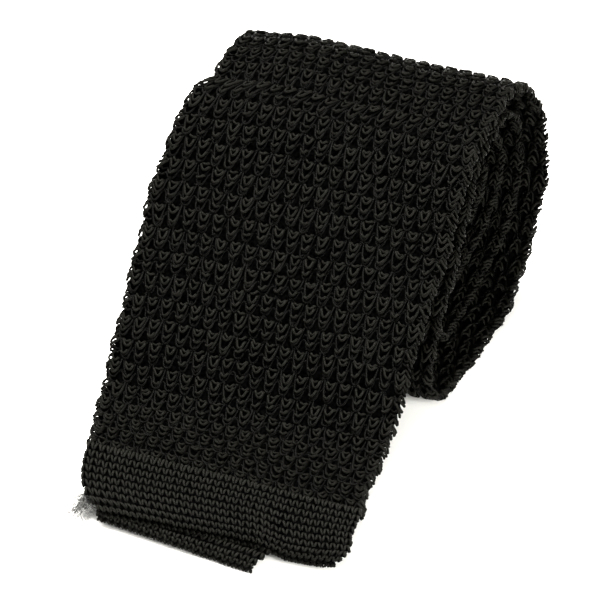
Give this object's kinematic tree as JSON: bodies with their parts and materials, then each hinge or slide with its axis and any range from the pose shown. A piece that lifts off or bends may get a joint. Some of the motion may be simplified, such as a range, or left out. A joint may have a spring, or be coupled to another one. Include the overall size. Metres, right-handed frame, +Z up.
{
  "type": "knitted necktie",
  "caption": "Square-ended knitted necktie, folded at the neck and rolled up, with its wide blade and narrow tail lying free in front.",
  "frame": {"origin": "on the table, in the middle of the flat under the roll", "axes": "+Z up; +Y from the free ends towards the roll's back; +X across the tie, along the roll's axis"},
  "size_m": [0.0735, 0.1396, 0.0525],
  "materials": {
    "mesh_knit": "matt loose knit",
    "close_knit": "matt close knit",
    "stitching": "twisted thread",
    "keeper_tape": "satin tape",
    "loose_yarn": "frayed fibre"
  },
  "bodies": {
    "roll": {"blade_turn_1": "mesh_knit", "blade_turn_2": "mesh_knit", "blade_turn_3": "mesh_knit", "blade_turn_4": "mesh_knit", "tail_turn_1": "mesh_knit", "tail_turn_2": "mesh_knit", "tail_turn_3": "mesh_knit", "tail_turn_4": "mesh_knit", "neck_fold": "mesh_knit", "keeper_loop": "keeper_tape"},
    "blade_crown_length": {"blade_crown": "mesh_knit"},
    "blade_front_length": {"blade_front": "mesh_knit"},
    "blade_end": {"blade_flap": "mesh_knit", "blade_hem_band": "close_knit", "blade_hem_turnup": "close_knit", "blade_hem_stitch": "stitching", "loose_thread": "loose_yarn"},
    "tail_crown_length": {"tail_crown": "mesh_knit"},
    "tail_front_length": {"tail_front": "mesh_knit"},
    "tail_end": {"tail_flap": "mesh_knit", "tail_hem_band": "close_knit", "tail_hem_turnup": "close_knit", "tail_hem_stitch": "stitching"}
  },
  "joints": [
    {"name": "blade_top_lift", "type": "hinge", "parent": "roll", "child": "blade_crown_length", "pos_m": [0, 0.0275, 0.05255], "axis": [-1, 0, 0], "range_deg": [0, 30]},
    {"name": "blade_middle_lift", "type": "hinge", "parent": "blade_crown_length", "child": "blade_front_length", "pos_m": [0, -0.01877, 0.02564], "axis": [-1, 0, 0], "range_deg": [0, 30]},
    {"name": "blade_foot_straighten", "type": "hinge", "parent": "blade_front_length", "child": "blade_end", "pos_m": [0, -0.05067, 0.0022], "axis": [1, 0, 0], "range_deg": [0, 33]},
    {"name": "tail_top_lift", "type": "hinge", "parent": "roll", "child": "tail_crown_length", "pos_m": [0.005, 0.0275, 0.04975], "axis": [-1, 0, 0], "range_deg": [0, 24]},
    {"name": "tail_middle_lift", "type": "hinge", "parent": "tail_crown_length", "child": "tail_front_length", "pos_m": [0.005, -0.01513, 0.02417], "axis": [-1, 0, 0], "range_deg": [0, 24]},
    {"name": "tail_foot_straighten", "type": "hinge", "parent": "tail_front_length", "child": "tail_end", "pos_m": [0.005, -0.04892, 0], "axis": [1, 0, 0], "range_deg": [0, 27]}
  ],
  "couplings": [
    {"joint": "blade_middle_lift", "follows": "blade_top_lift", "ratio": 1},
    {"joint": "blade_foot_straighten", "follows": "blade_top_lift", "ratio": 1.1},
    {"joint": "tail_top_lift", "follows": "blade_top_lift", "ratio": 0.8},
    {"joint": "tail_middle_lift", "follows": "blade_top_lift", "ratio": 0.8},
    {"joint": "tail_foot_straighten", "follows": "blade_top_lift", "ratio": 0.9}
  ]
}
